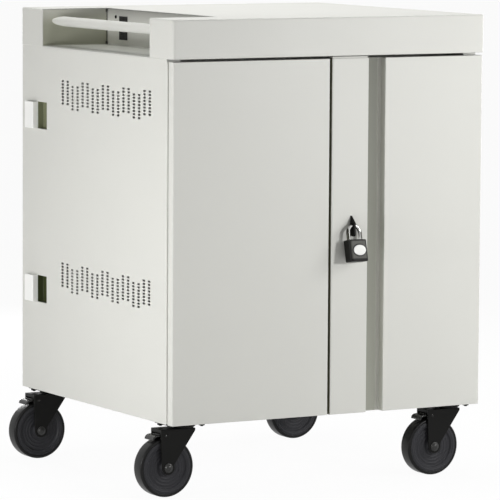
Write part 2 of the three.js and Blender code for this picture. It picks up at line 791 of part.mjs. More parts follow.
// Cam in its open position, pointing up
function lockCam() {
  const shape = new THREE.Shape();
  shape.absarc(lockX, lockZ, camHalf, Math.PI, 2 * Math.PI);
  shape.lineTo(lockX + camHalf, lockZ + camReach);
  shape.lineTo(lockX - camHalf, lockZ + camReach);
  const cam = prismY(shape, [camFace - camThickness, camFace], 6);
  const hole = [camFace - camThickness - overcut, camFace + overcut];
  return cam.subtract(rodY(lockStudRadius + runningGap, hole, [lockX, lockZ], 12));
}

// Caster pieces, about the swivel axis at the origin and standing on the floor
const axleX = -wheelTrail;

function casterPlate() {
  const headTop = crownUnderside - seat;
  const profile = revolve([
    [0, headTop - kingPinHeadLength], [kingPinHeadRadius, headTop - kingPinHeadLength],
    [kingPinHeadRadius, headTop], [kingPinRadius, headTop], [kingPinRadius, racewayUnderside],
    [racewayRadius, racewayUnderside], [racewayRadius, plateUnderside + seat], [0, plateUnderside + seat],
  ], 20);
  const plate = block([-casterPlateLength / 2, casterPlateLength / 2],
    [-casterPlateWidth / 2, casterPlateWidth / 2], [plateUnderside, plateUnderside + casterPlateThickness]);
  return toSolid(profile.rotateX(Math.PI / 2)).add(plate);
}

// Side view of the fork carried across its width, with the wheel channel and the holes cut out
function casterFork() {
  const side = new THREE.Shape();
  const heel = axleX - forkBossRadius - forkHeel;
  side.moveTo(forkNose, crownTop - forkNoseHeight);
  side.lineTo(forkNose, crownTop);
  side.lineTo(heel, crownTop);
  side.lineTo(heel, crownUnderside);
  side.lineTo(axleX - forkBossRadius, wheelRadius);
  side.absarc(axleX, wheelRadius, forkBossRadius, Math.PI, 2 * Math.PI + Math.PI / 8);
  const through = [-forkHalf - overcut, forkHalf + overcut];
  const channel = block([heel - overcut, forkNose + overcut], [-channelHalf, channelHalf],
    [wheelRadius - forkBossRadius - overcut, crownUnderside]);
  return prismY(side, [-forkHalf, forkHalf], 6)
    .subtract(channel)
    .subtract(rodZ(kingPinRadius + runningGap, [crownUnderside - overcut, crownTop + overcut], [0, 0], 12))
    .subtract(rodY(axleRadius + runningGap, through, [axleX, wheelRadius], 12))
    .subtract(rodY(pedalPivotRadius + runningGap, through, pedalPivot(), 8));
}

function casterAxle() {
  const shoulder = forkHalf + seat;
  const end = shoulder + axleHeadLength;
  const profile = revolve([
    [0, -end], [axleHeadRadius, -end], [axleHeadRadius, -shoulder], [axleRadius, -shoulder],
    [axleRadius, shoulder], [axleHeadRadius, shoulder], [axleHeadRadius, end], [0, end],
  ], 12);
  return toSolid(profile.translate(axleX, 0, wheelRadius));
}

// Wheel with a hub, a dished web, a rim and rounded shoulders; one facet lies on the floor
function casterWheel() {
  const tread = wheelRadius / Math.cos(Math.PI / wheelFacets);
  const half = wheelWidth / 2;
  const hubHalf = channelHalf - hubPlay;
  const bore = axleRadius + runningGap;
  const flank = [
    [bore, hubHalf], [wheelHubRadius, hubHalf], [wheelHubRadius + wheelShoulder, wheelWebHalf],
    [wheelRimInner, half], [tread - wheelShoulder, half], [tread, half - wheelShoulder],
  ];
  const other = flank.map(([r, y]) => [r, -y]);
  const profile = [...other, ...flank.reverse(), other[0]];
  const wheel = revolve(profile, wheelFacets, Math.PI / wheelFacets);
  return toSolid(wheel.translate(axleX, 0, wheelRadius));
}

function pedalPivot() {
  return [axleX - pedalPivotBehindAxle, 2 * wheelRadius + wheelToCrown / 2];
}

// Brake pedal: a bent lever on a cross pin between the fork legs, with a turned-down lip at its tip
function brakePedal() {
  const [x, z] = pedalPivot();
  const half = channelHalf - pedalSideGap;
  const thick = pedalThickness / 2;
  const knee = x - pedalKnee;
  const tip = x - pedalReach;
  const side = new THREE.Shape();
  side.moveTo(x, z - thick);
  side.lineTo(x, z + thick);
  side.lineTo(knee, z + thick);
  side.quadraticCurveTo(tip, z + thick, tip, z - pedalDrop - pedalLip);
  side.lineTo(tip + pedalThickness, z - pedalDrop - pedalLip);
  side.quadraticCurveTo(tip + pedalThickness, z - thick, knee, z - thick);
  const lever = prismY(side, [-half, half], 5);
  const boss = rodY(pedalBossRadius, [-half - seat, half + seat], [x, z], 12);
  return lever.add(boss).add(rodY(pedalPivotRadius, [-forkHalf, forkHalf], [x, z], 10));
}

function addCaster(parent, name, [x, y]) {
  const caster = new THREE.Group();
  caster.position.set(x, y, 0);
  addPiece(caster, `${name}_caster_plate`, casterPlate(), 'blackPaint');
  addPiece(caster, `${name}_caster_fork`, casterFork(), 'blackPaint');
  addPiece(caster, `${name}_caster_axle`, casterAxle(), 'zinc');
  addPiece(caster, `${name}_caster_wheel`, casterWheel(), 'tread');
  addPiece(caster, `${name}_brake_pedal`, brakePedal(), 'blackPaint');
  parent.add(caster);
}

function addShell(parent) {
  addPiece(parent, 'base_pan', basePan(), 'powderCoat');
  addPiece(parent, 'left_side_panel', sidePanel(-1), 'powderCoat');
  addPiece(parent, 'right_side_panel', sidePanel(1), 'powderCoat');
  addPiece(parent, 'left_front_post', frontPost(-1), 'powderCoat');
  addPiece(parent, 'right_front_post', frontPost(1), 'powderCoat');
  addPiece(parent, 'rear_stop_post', rearStop(), 'powderCoat');
  addPiece(parent, 'top_deck', topDeck(), 'powderCoat');
  addPiece(parent, 'top_cap', topCap(), 'powderCoat');
  addPiece(parent, 'upper_cord_hook', cordHook(hookBottoms.upper), 'powderCoat');
  addPiece(parent, 'lower_cord_hook', cordHook(hookBottoms.lower), 'powderCoat');
}

function addHandleWell(parent) {
  addPiece(parent, 'handle_well', handleWell(), 'powderCoat');
  addPiece(parent, 'handle_bar', handleBar(), 'powderCoat');
  addPiece(parent, 'upper_convenience_outlet', convenienceOutlet(0), 'blackPlastic');
  addPiece(parent, 'lower_convenience_outlet', convenienceOutlet(1), 'blackPlastic');
}

function addInside(parent) {
  addPiece(parent, 'mid_shelf', midShelf(), 'powderCoat');
  addPiece(parent, 'bay_partition', bayPartition(), 'powderCoat');
  addPiece(parent, 'lower_divider_rack', dividerRack(baseTop), 'rackPlastic');
  addPiece(parent, 'upper_divider_rack', dividerRack(shelfTop), 'rackPlastic');
  addPiece(parent, 'lower_power_strip', powerStrip(baseTop), 'blackPlastic');
  addPiece(parent, 'upper_power_strip', powerStrip(shelfTop), 'blackPlastic');
  addPiece(parent, 'power_inlet', powerInlet(), 'blackPlastic');
}

function addDoors(parent) {
  const axisLine = doorBack + hingeSpace / 2;
  addPiece(parent, 'left_door', leftDoor(), 'powderCoat');
  addPiece(parent, 'right_door', rightDoor(), 'powderCoat');
  addHinge(parent, 'left_door', [-sideFace, axisLine], 0, 1, [baseUnderside, doorTop]);
  addHinge(parent, 'right_door', [sideFace, axisLine], Math.PI, -1, [baseUnderside, doorTop]);
  addPiece(parent, 'rear_door', rearDoor(), 'powderCoat');
  const rearAxis = [innerSide - hingeSpace / 2, rearFace];
  addHinge(parent, 'rear_door', rearAxis, -Math.PI / 2, 1, [rearDoorBottom, doorTop]);
  addPiece(parent, 'rear_lock_cylinder', lockCylinder(), 'zinc');
  addPiece(parent, 'rear_lock_cam', lockCam(), 'zinc');
}

// The padlock hangs in the hasp, with the bend of its shackle on the lower edge of the hole
function addPadlock(parent) {
  addPiece(parent, 'hasp_tab', haspTab(), 'blackPaint');
  const padlock = new THREE.Group();
  const rest = haspHoleZ() - haspHoleRadius + shackleRadius + runningGap + seat;
  padlock.position.set(haspFromMiddle, frontFace - haspHoleReach, rest);
  padlock.rotation.set(-padlockLean, 0, padlockTurn);
  addPiece(padlock, 'padlock_shackle', padlockShackle(), 'chrome');
  addPiece(padlock, 'padlock_body', padlockBody(), 'blackPaint');
  addPiece(padlock, 'padlock_face_plate', padlockFacePlate(), 'enamel');
  parent.add(padlock);
}

function addCasters(parent) {
  const x = sideFace - casterInsetX;
  const y = rearFace - casterInsetY;
  addCaster(parent, 'front_left', [-x, -y]);
  addCaster(parent, 'front_right', [x, -y]);
  addCaster(parent, 'rear_left', [-x, y]);
  addCaster(parent, 'rear_right', [x, y]);
}

const cart = new THREE.Group();
addShell(cart);
addHandleWell(cart);
addInside(cart);
addDoors(cart);
addPadlock(cart);
addCasters(cart);

// The origin goes to the middle of the footprint, on the floor
const extent = new THREE.Box3().setFromObject(cart, true);
const middle = extent.getCenter(new THREE.Vector3());
cart.position.set(-middle.x, -middle.y, -extent.min.z);

export default cart;
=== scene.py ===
import json
import math

import bmesh
import bpy
import numpy as np
from mathutils import Euler, Matrix, Vector


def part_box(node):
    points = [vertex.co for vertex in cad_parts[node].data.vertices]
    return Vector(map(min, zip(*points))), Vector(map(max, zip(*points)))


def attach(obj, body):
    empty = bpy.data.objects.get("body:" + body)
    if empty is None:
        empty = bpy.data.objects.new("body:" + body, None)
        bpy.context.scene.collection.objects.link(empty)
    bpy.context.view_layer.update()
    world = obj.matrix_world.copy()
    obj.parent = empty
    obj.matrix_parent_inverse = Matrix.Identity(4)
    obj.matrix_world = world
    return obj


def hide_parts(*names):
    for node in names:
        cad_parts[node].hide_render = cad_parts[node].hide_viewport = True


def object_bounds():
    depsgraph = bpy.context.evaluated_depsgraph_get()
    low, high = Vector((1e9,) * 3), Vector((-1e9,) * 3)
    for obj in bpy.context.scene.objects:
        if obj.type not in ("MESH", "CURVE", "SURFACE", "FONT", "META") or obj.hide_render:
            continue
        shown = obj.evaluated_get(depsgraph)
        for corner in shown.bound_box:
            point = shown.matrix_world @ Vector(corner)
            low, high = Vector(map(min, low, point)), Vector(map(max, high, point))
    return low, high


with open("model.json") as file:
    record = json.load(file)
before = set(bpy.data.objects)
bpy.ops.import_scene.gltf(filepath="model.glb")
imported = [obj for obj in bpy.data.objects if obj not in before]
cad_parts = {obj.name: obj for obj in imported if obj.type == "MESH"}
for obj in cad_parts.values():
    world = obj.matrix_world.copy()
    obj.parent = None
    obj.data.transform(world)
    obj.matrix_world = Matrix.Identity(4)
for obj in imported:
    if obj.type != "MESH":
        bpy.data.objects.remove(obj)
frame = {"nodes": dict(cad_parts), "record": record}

mm = 0.001
nodes = frame["nodes"]
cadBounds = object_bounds()
corners = ("front_left", "front_right", "rear_left", "rear_right")
print("frame loaded:", len(nodes), "nodes")


# Lowest and highest corner of a node in millimetres.
def spot(node):
    low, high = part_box(node)
    return np.array(low) / mm, np.array(high) / mm


# surfaces, all in millimetres

leastCorner = 0.1
hexagon = 6
upright = ((1, 0, 0), (0, 0, 1), (0, 1, 0))  # depth along y, height along z


# A grid of rows and columns; the columns wrap around.
def gridFaces(rows, columns):
    row, column = np.meshgrid(np.arange(rows - 1), np.arange(columns), indexing="ij")
    nextColumn = (column + 1) % columns
    corner = [row * columns + column, row * columns + nextColumn,
              (row + 1) * columns + nextColumn, (row + 1) * columns + column]
    return np.stack(corner, -1).reshape(-1, 4)


# A profile of (radius, height) pairs turned about an axis: centre + height along it + radius around it.
def turned(profile, centre, axis, sides):
    profile = np.asarray(profile, float)
    angle = np.arange(sides) * 2 * math.pi / sides
    radius, height = profile[:, :1], profile[:, 1:]
    across, over, along = radius * np.cos(angle), radius * np.sin(angle), np.repeat(height, sides, 1)
    order = {"X": (along, across, over), "Y": (over, along, across), "Z": (across, over, along)}[axis]
    points = np.stack(order, -1).reshape(-1, 3) + np.asarray(centre, float)
    return points, gridFaces(len(profile), sides)


# Profile of a peg: straight from its base, with a chamfer at its tip.
def pegProfile(radius, base, tip, chamferAcross, chamferAlong):
    shoulder = tip - math.copysign(chamferAlong, tip - base)
    return [[0, base], [radius, base], [radius, shoulder], [radius - chamferAcross, tip], [0, tip]]


# Profile of a domed head: a quarter ellipse from its rim to its tip, on a flat base.
def headProfile(radius, base, rim, tip, steps):
    turn = np.linspace(0, math.pi / 2, steps)
    dome = np.stack([radius * np.cos(turn), rim + (tip - rim) * np.sin(turn)], -1)
    return np.concatenate([[[0, base], [radius, base]], dome])


# Profile of a ring: straight walls from its base, and a half circle over its tip.
def ringProfile(inner, outer, base, tip, steps):
    turn = np.linspace(0, math.pi, steps)
    half = (outer - inner) / 2
    rise = math.copysign(half, tip - base)
    lip = np.stack([inner + half - half * np.cos(turn), tip - rise + rise * np.sin(turn)], -1)
    return np.concatenate([[[inner, base]], lip, [[outer, base], [inner, base]]])


# Closed sections in a row: one ring of points per step, both ends drawn in to their middles.
def stacked(rings):
    rings = np.asarray(rings, float)
    first, last = (np.repeat(ring.mean(0)[None, None], rings.shape[1], 1) for ring in (rings[0], rings[-1]))
    rings = np.concatenate([first, rings, last])
    return rings.reshape(-1, 3), gridFaces(len(rings), rings.shape[1])


# A round section carried along a flat path: path point + radius around the path's direction.
def tube(path, radius, flat, sides):
    path, flat = np.asarray(path, float), np.asarray(flat, float)
    direction = np.gradient(path, axis=0)
    direction /= np.linalg.norm(direction, axis=1, keepdims=True)
    sideways = np.cross(direction, flat)
    sideways /= np.linalg.norm(sideways, axis=1, keepdims=True)
    angle = (np.arange(sides) * 2 * math.pi / sides)[None, :, None]
    around = np.cos(angle) * sideways[:, None] + np.sin(angle) * flat
    return stacked(path[:, None] + radius * around)


# A rectangle with round corners: four quarter circles walked once around.
def roundedRing(halfWide, halfHigh, corner, steps=5):
    turn = np.linspace(0, math.pi / 2, steps)
    angle = np.concatenate([turn + quarter * math.pi / 2 for quarter in range(4)])
    wide = np.repeat([1, -1, -1, 1], steps) * (halfWide - corner) + corner * np.cos(angle)
    high = np.repeat([1, 1, -1, -1], steps) * (halfHigh - corner) + corner * np.sin(angle)
    return np.stack([wide, high], -1)


# A block with round edges: rounded rectangles along its depth, drawn in at both ends by a quarter circle.
def softBlock(half, corner, edge, steps=4):
    turn = np.linspace(0, math.pi / 2, steps)
    inset = edge * (1 - np.sin(turn))
    depth = half[2] - edge * (1 - np.cos(turn))
    rings = []
    for shrink, along in zip(np.r_[inset, inset[::-1]], np.r_[-depth, depth[::-1]]):
        ring = roundedRing(half[0] - shrink, half[1] - shrink, max(corner - shrink, leastCorner))
        rings.append(np.column_stack([ring, np.full(len(ring), along)]))
    return stacked(rings)


# Turns a surface so that its width, height and depth follow the rows of axes, and moves it to a place.
def placed(surface, place, axes=np.eye(3)):
    points, faces = surface
    return points @ np.asarray(axes, float) + np.asarray(place, float), faces


def joined(parts):
    points, faces, start = [], [], 0
    for partPoints, partFaces in parts:
        points.append(partPoints)
        faces.append(partFaces + start)
        start += len(partPoints)
    return np.concatenate(points), np.concatenate(faces)


# Puts a surface into a mesh, closes its poles, turns it outwards and lets it ride on a body.
def addPiece(name, surface, material, body, replaced=(), sharpAngle=0.6, weld=1e-6):
    points, faces = surface
    mesh = bpy.data.meshes.new(name)
    mesh.from_pydata((points * mm).tolist(), [], faces.tolist())
    work = bmesh.new()
    work.from_mesh(mesh)
    bmesh.ops.remove_doubles(work, verts=work.verts, dist=weld)
    bmesh.ops.recalc_face_normals(work, faces=work.faces)
    work.to_mesh(mesh)
    work.free()
    mesh.shade_smooth()
    mesh.set_sharp_from_angle(angle=sharpAngle)
    piece = bpy.data.objects.new(name, mesh)
    bpy.context.scene.collection.objects.link(piece)
    piece.data.materials.append(material)
    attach(piece, body)
    if replaced:
        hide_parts(*replaced)


# node groups shared by the finishes

def newGroup(name, inputs, outputs):
    group = bpy.data.node_groups.new(name, "ShaderNodeTree")
    for socketName, kind, value in inputs:
        socket = group.interface.new_socket(socketName, in_out="INPUT", socket_type=kind)
        socket.default_value = value
    for socketName, kind in outputs:
        group.interface.new_socket(socketName, in_out="OUTPUT", socket_type=kind)
    return group, group.nodes.new("NodeGroupInput"), group.nodes.new("NodeGroupOutput")


def mathNode(tree, operation, first, second):
    node = tree.nodes.new("ShaderNodeMath")
    node.operation = operation
    for socket, value in zip(node.inputs, (first, second)):
        if isinstance(value, (int, float)):
            socket.default_value = value
        else:
            tree.links.new(value, socket)
    return node.outputs[0]


def vectorNode(tree, operation, first, second=None):
    node = tree.nodes.new("ShaderNodeVectorMath")
    node.operation = operation
    tree.links.new(first, node.inputs[0])
    if second is not None:
        tree.links.new(second, node.inputs[1])
    return node


def noiseNode(tree, scale, detail=2.0):
    place = tree.nodes.new("ShaderNodeTexCoord")
    noise = tree.nodes.new("ShaderNodeTexNoise")
    noise.inputs["Detail"].default_value = detail
    tree.links.new(place.outputs["Object"], noise.inputs["Vector"])
    if isinstance(scale, (int, float)):
        noise.inputs["Scale"].default_value = scale
    else:
        tree.links.new(scale, noise.inputs["Scale"])
    return noise.outputs["Fac"]


filmLook = dict(cloudScale=7.0, cloudDetail=3.0, roughnessDrift=0.12)


# Film: colour that drifts slowly over the surface, roughness that follows it, and a fine grain as height.
def makeFilm():
    group, source, result = newGroup(
        "film",
        [("Color", "NodeSocketColor", (0.5, 0.5, 0.5, 1)), ("Drift", "NodeSocketFloat", 0.05),
         ("Roughness", "NodeSocketFloat", 0.5), ("Grain Scale", "NodeSocketFloat", 700.0)],
        [("Color", "NodeSocketColor"), ("Roughness", "NodeSocketFloat"), ("Height", "NodeSocketFloat")])
    cloud = noiseNode(group, filmLook["cloudScale"], filmLook["cloudDetail"])
    grain = noiseNode(group, source.outputs["Grain Scale"])
    centred = mathNode(group, "SUBTRACT", cloud, 0.5)
    factor = mathNode(group, "ADD", mathNode(group, "MULTIPLY", centred, source.outputs["Drift"]), 1.0)
    tint = vectorNode(group, "SCALE", source.outputs["Color"])
    group.links.new(factor, tint.inputs["Scale"])
    group.links.new(tint.outputs[0], result.inputs["Color"])
    drift = mathNode(group, "MULTIPLY", centred, filmLook["roughnessDrift"])
    group.links.new(mathNode(group, "ADD", source.outputs["Roughness"], drift), result.inputs["Roughness"])
    group.links.new(grain, result.inputs["Height"])
    return group


rimLook = dict(samples=6, radius=2.2)


# Rim: normals rounded over the edges, and a mask of those edges from how far they turn.
def makeRim():
    group, source, result = newGroup(
        "rim", [("Gain", "NodeSocketFloat", 4.0)],
        [("Mask", "NodeSocketFloat"), ("Normal", "NodeSocketVector")])
    bevel = group.nodes.new("ShaderNodeBevel")
    bevel.samples = rimLook["samples"]
    bevel.inputs["Radius"].default_value = rimLook["radius"] * mm
    surface = group.nodes.new("ShaderNodeNewGeometry")
    dot = vectorNode(group, "DOT_PRODUCT", bevel.outputs["Normal"], surface.outputs["True Normal"])
    bend = mathNode(group, "SUBTRACT", 1.0, dot.outputs["Value"])
    mask = mathNode(group, "MULTIPLY", bend, source.outputs["Gain"])
    group.links.new(mathNode(group, "MINIMUM", mask, 1.0), result.inputs["Mask"])
    group.links.new(bevel.outputs["Normal"], result.inputs["Normal"])
    return group


# Patch: one inside a turned box, falling to zero over a soft border, from the least distance to its sides.
def makePatch():
    group, source, result = newGroup(
        "patch",
        [("Centre", "NodeSocketVector", (0, 0, 0)), ("Turn", "NodeSocketVector", (0, 0, 0)),
         ("Half", "NodeSocketVector", (1, 1, 1)), ("Soft", "NodeSocketFloat", 0.001)],
        [("Mask", "NodeSocketFloat")])
    place = group.nodes.new("ShaderNodeTexCoord")
    local = group.nodes.new("ShaderNodeMapping")
    local.vector_type = "TEXTURE"
    group.links.new(place.outputs["Object"], local.inputs["Vector"])
    group.links.new(source.outputs["Centre"], local.inputs["Location"])
    group.links.new(source.outputs["Turn"], local.inputs["Rotation"])
    reach = vectorNode(group, "ABSOLUTE", local.outputs[0])
    inside = vectorNode(group, "SUBTRACT", source.outputs["Half"], reach.outputs[0])
    parts = group.nodes.new("ShaderNodeSeparateXYZ")
    group.links.new(inside.outputs[0], parts.inputs[0])
    least = mathNode(group, "MINIMUM", parts.outputs[1], parts.outputs[2])
    least = mathNode(group, "MINIMUM", parts.outputs[0], least)
    level = mathNode(group, "ADD", mathNode(group, "DIVIDE", least, source.outputs["Soft"]), 0.5)
    level = mathNode(group, "MINIMUM", mathNode(group, "MAXIMUM", level, 0.0), 1.0)
    group.links.new(level, result.inputs["Mask"])
    return group


filmGroup = makeFilm()
rimGroup = makeRim()
patchGroup = makePatch()


# Colour levels of a picture, from 0 to 255, as linear light.
def linear(red, green, blue):
    level = np.array([red, green, blue]) / 255
    value = np.where(level < 0.04045, level / 12.92, ((level + 0.055) / 1.055) ** 2.4)
    return (*value.tolist(), 1.0)


def mixNode(tree, factor, first, second):
    mix = tree.nodes.new("ShaderNodeMix")
    mix.data_type = "RGBA"
    tree.links.new(factor, mix.inputs["Factor"])
    tree.links.new(first, mix.inputs["A"])
    mix.inputs["B"].default_value = linear(*second)
    return mix.outputs["Result"]


# Places a patch in a material; one patch may be kept within another by the product of their masks.
def patchMask(tree, patch):
    node = tree.nodes.new("ShaderNodeGroup")
    node.node_tree = patchGroup
    node.inputs["Centre"].default_value = [v * mm for v in patch["centre"]]
    node.inputs["Turn"].default_value = patch.get("turn", (0, 0, 0))
    node.inputs["Half"].default_value = [v * mm for v in patch["half"]]
    node.inputs["Soft"].default_value = patch["soft"] * mm
    mask = node.outputs["Mask"]
    if "within" in patch:
        mask = mathNode(tree, "MULTIPLY", mask, patchMask(tree, patch["within"]))
    return mask


# A finish of film, rim and bump; its look is one dictionary, and patches are places in another colour.
def makeFinish(name, look, patches=()):
    material = bpy.data.materials.new(name)
    material.use_nodes = True
    tree = material.node_tree
    shader = tree.nodes["Principled BSDF"]
    film = tree.nodes.new("ShaderNodeGroup")
    film.node_tree = filmGroup
    film.inputs["Color"].default_value = linear(*look["color"])
    film.inputs["Drift"].default_value = look["drift"]
    film.inputs["Roughness"].default_value = look["roughness"]
    film.inputs["Grain Scale"].default_value = look["grainScale"]
    rim = tree.nodes.new("ShaderNodeGroup")
    rim.node_tree = rimGroup
    color = film.outputs["Color"]
    for patch in patches:
        color = mixNode(tree, patchMask(tree, patch), color, patch["color"])
    # painted highlight: the rim mask lightens every edge towards the edge highlight colour
    edge = mathNode(tree, "MULTIPLY", rim.outputs["Mask"], look["edge"])
    color = mixNode(tree, edge, color, look["edgeHighlightColor"])
    bump = tree.nodes.new("ShaderNodeBump")
    bump.inputs["Strength"].default_value = look["bump"]
    bump.inputs["Distance"].default_value = look["grainDepth"]
    tree.links.new(film.outputs["Height"], bump.inputs["Height"])
    tree.links.new(rim.outputs["Normal"], bump.inputs["Normal"])
    tree.links.new(color, shader.inputs["Base Color"])
    tree.links.new(film.outputs["Roughness"], shader.inputs["Roughness"])
    tree.links.new(bump.outputs["Normal"], shader.inputs["Normal"])
    shader.inputs["Metallic"].default_value = look["metallic"]
    shader.inputs["Specular IOR Level"].default_value = look["specular"]
    return material


# each finish's edge highlight colour and edge strength paint a highlight along its edges
finishLooks = {
    "powderCoat": dict(color=(214, 214, 208), edgeHighlightColor=(246, 246, 242), edge=0.7, drift=0.03, roughness=0.46,
                       grainScale=900.0, grainDepth=0.0003, bump=0.12, metallic=0.0, specular=0.4),
    "hookHighlightCoat": dict(color=(249, 249, 246), edgeHighlightColor=(252, 252, 250), edge=0.4, drift=0.02, roughness=0.4,
                     grainScale=900.0, grainDepth=0.0003, bump=0.1, metallic=0.0, specular=0.4),
    "zincPlate": dict(color=(196, 197, 198), edgeHighlightColor=(222, 222, 222), edge=0.4, drift=0.12, roughness=0.34,
                      grainScale=420.0, grainDepth=0.0002, bump=0.1, metallic=1.0, specular=0.5),
    "polishedSteel": dict(color=(172, 172, 170), edgeHighlightColor=(200, 200, 198), edge=0.3, drift=0.06,
                          roughness=0.16, grainScale=600.0, grainDepth=0.0001, bump=0.04, metallic=1.0,
                          specular=0.5),
    "casterCoat": dict(color=(17, 17, 16), edgeHighlightColor=(52, 52, 50), edge=0.4, drift=0.2, roughness=0.4,
                       grainScale=800.0, grainDepth=0.0003, bump=0.12, metallic=0.0, specular=0.1),
    "pedalGloss": dict(color=(15, 15, 14), edgeHighlightColor=(70, 70, 68), edge=0.4, drift=0.15, roughness=0.14,
                       grainScale=700.0, grainDepth=0.0002, bump=0.04, metallic=0.0, specular=0.35),
    "boltBlack": dict(color=(44, 44, 43), edgeHighlightColor=(90, 90, 88), edge=0.4, drift=0.15, roughness=0.3,
                      grainScale=500.0, grainDepth=0.0002, bump=0.1, metallic=0.4, specular=0.4),
    "satinBlack": dict(color=(15, 15, 13), edgeHighlightColor=(52, 52, 48), edge=0.4, drift=0.15, roughness=0.42,
                       grainScale=900.0, grainDepth=0.0002, bump=0.1, metallic=0.0, specular=0.12),
    "wheelRubber": dict(color=(52, 52, 55), edgeHighlightColor=(74, 74, 77), edge=0.4, drift=0.15, roughness=0.4,
                        grainScale=520.0, grainDepth=0.0004, bump=0.15, metallic=0.0, specular=0.12),
    "treadRubber": dict(color=(20, 20, 20), edgeHighlightColor=(46, 46, 46), edge=0.3, drift=0.2, roughness=0.34,
                        grainScale=520.0, grainDepth=0.0004, bump=0.12, metallic=0.0, specular=0.16),
    "blackMoulding": dict(color=(24, 24, 24), edgeHighlightColor=(56, 56, 56), edge=0.4, drift=0.1, roughness=0.5,
                          grainScale=1100.0, grainDepth=0.0002, bump=0.1, metallic=0.0, specular=0.4),
    "rackMoulding": dict(color=(60, 62, 66), edgeHighlightColor=(92, 94, 98), edge=0.4, drift=0.08, roughness=0.55,
                         grainScale=900.0, grainDepth=0.0002, bump=0.1, metallic=0.0, specular=0.4),
    "paleEnamel": dict(color=(240, 240, 236), edgeHighlightColor=(250, 250, 248), edge=0.3, drift=0.03, roughness=0.25,
                       grainScale=500.0, grainDepth=0.0001, bump=0.04, metallic=0.0, specular=0.5),
}
finishes = {name: makeFinish(name, look) for name, look in finishLooks.items()}
slotFinish = {"powder_coat": "powderCoat", "zinc_steel": "zincPlate", "chrome": "polishedSteel",
              "black_paint": "satinBlack", "caster_black": "casterCoat", "wheel_rubber": "wheelRubber",
              "black_plastic": "blackMoulding", "rack_plastic": "rackMoulding", "white_enamel": "paleEnamel"}


def setFinish(node, material):
    materials = nodes[node].data.materials
    materials.clear()
    materials.append(material)


for entry in frame["record"]["subparts"]:
    setFinish(entry["node"], finishes[slotFinish[entry["material_slot"]]])
for corner in corners:
    setFinish(f"{corner}_brake_pedal", finishes["pedalGloss"])
print("finishes on nodes:", len(nodes))


# cord hooks: sheet painted lighter than the body as a painted highlight, with a shallow tray behind each
# window that closes the cabinet, in painted shade

hookLook = dict(toInside=12.0, window=50.0, gap=0.5, overlap=1.0, wall=1.0, depth=14.0, corner=3.0,
                trayShadeColors=dict(upper=(118, 121, 94), lower=(54, 60, 30)))


# Walls of a tray: one rounded rectangle for its outside and a smaller one for its inside.
def traySurface(halfWide, halfHigh):
    wall, depth, corner = hookLook["wall"], hookLook["depth"], hookLook["corner"]
    outer = roundedRing(halfWide, halfHigh, corner)
    inner = roundedRing(halfWide - wall, halfHigh - wall, corner - wall)
    steps = [(outer, depth), (outer, 0.0), (inner, 0.0), (inner, depth - wall)]
    return stacked([np.column_stack([np.full(len(ring), along), ring]) for ring, along in steps])


def addHookTray(level):
    look = hookLook
    low, high = spot(f"{level}_cord_hook")
    # the hook sheet is painted lighter than the body: a painted highlight
    setFinish(f"{level}_cord_hook", finishes["hookHighlightCoat"])
    front = low[1] - look["window"] - look["overlap"]
    back = low[1] - look["gap"]
    tray = traySurface((back - front) / 2, (high[2] - low[2]) / 2 + look["overlap"])
    place = (low[0] + look["toInside"], (front + back) / 2, (low[2] + high[2]) / 2)
    # the tray's colour is painted shade of the cabinet's inside, deeper on the lower hook
    coat = dict(finishLooks["powderCoat"], color=look["trayShadeColors"][level], edge=0.0)
    addPiece(f"{level}_hook_tray", placed(tray, place), makeFinish(f"{level}TrayShadeCoat", coat), "cabinet")


for level in ("upper", "lower"):
    addHookTray(level)
print("hooks done")


# doors: painted shade in the finger groove, deeper towards the top, painted light on its right wall, and
# painted shade on both edges of the gap in the middle

grooveLook = dict(fromEdge=90.2, width=43.0, depth=18.0, skin=1.0, beside=0.2, behind=1.0, above=5.0,
                  soft=0.8, grooveShadeColor=(164, 165, 154), topShadeColor=(110, 111, 99), paintedLightWallColor=(222, 222, 214),
                  wallReach=9.0, wallSoft=3.0)
gapShadeLook = dict(setBack=1.6, depth=22.0, reach=1.2, soft=0.8, color=(118, 118, 98))


def paintDoors():
    low, high = spot("right_door")
    look = grooveLook
    tall = (high[2] - low[2]) / 2 + look["above"]
    deep = look["depth"] / 2 + look["behind"]
    middle = (low[2] + high[2]) / 2
    left = low[0] + look["fromEdge"]
    inside = low[1] + look["skin"] + deep
    # painted shade over the groove's floor and walls
    floor = dict(centre=(left + look["width"] / 2, inside, middle),
                 half=(look["width"] / 2 + look["beside"], deep, tall), soft=look["soft"],
                 color=look["grooveShadeColor"])
    # painted shade, deeper towards the top under the cap
    upper = dict(centre=(left, inside, high[2]), half=(tall, tall, tall), soft=2 * tall, within=floor,
                 color=look["topShadeColor"])
    # painted light on the groove's right wall, lifting it out of the lamp's shadow
    wall = dict(centre=(left + look["width"], inside, middle), half=(look["wallReach"], deep, tall),
                soft=look["wallSoft"], color=look["paintedLightWallColor"])

    # painted shade on a door's edge in the gap between the doors
    def gapShadePatch(edge, front):
        return dict(centre=(edge, front + gapShadeLook["setBack"] + gapShadeLook["depth"] / 2, middle),
                    half=(gapShadeLook["reach"], gapShadeLook["depth"] / 2, tall), soft=gapShadeLook["soft"],
                    color=gapShadeLook["color"])

    rightPatches = [floor, upper, wall, gapShadePatch(low[0], low[1])]
    setFinish("right_door", makeFinish("grooveShadeCoat", finishLooks["powderCoat"], rightPatches))
    leftLow, leftHigh = spot("left_door")
    leftPatches = [gapShadePatch(leftHigh[0], leftLow[1])]
    setFinish("left_door", makeFinish("gapShadeCoat", finishLooks["powderCoat"], leftPatches))


paintDoors()


# strip lip: a low rounded bar on top of the strip, up to just under the cap

lipLook = dict(rise=4.4, sink=0.4, setBack=2.2, depth=14.0, fromEdge=90.2, margin=1.0, corner=0.8)


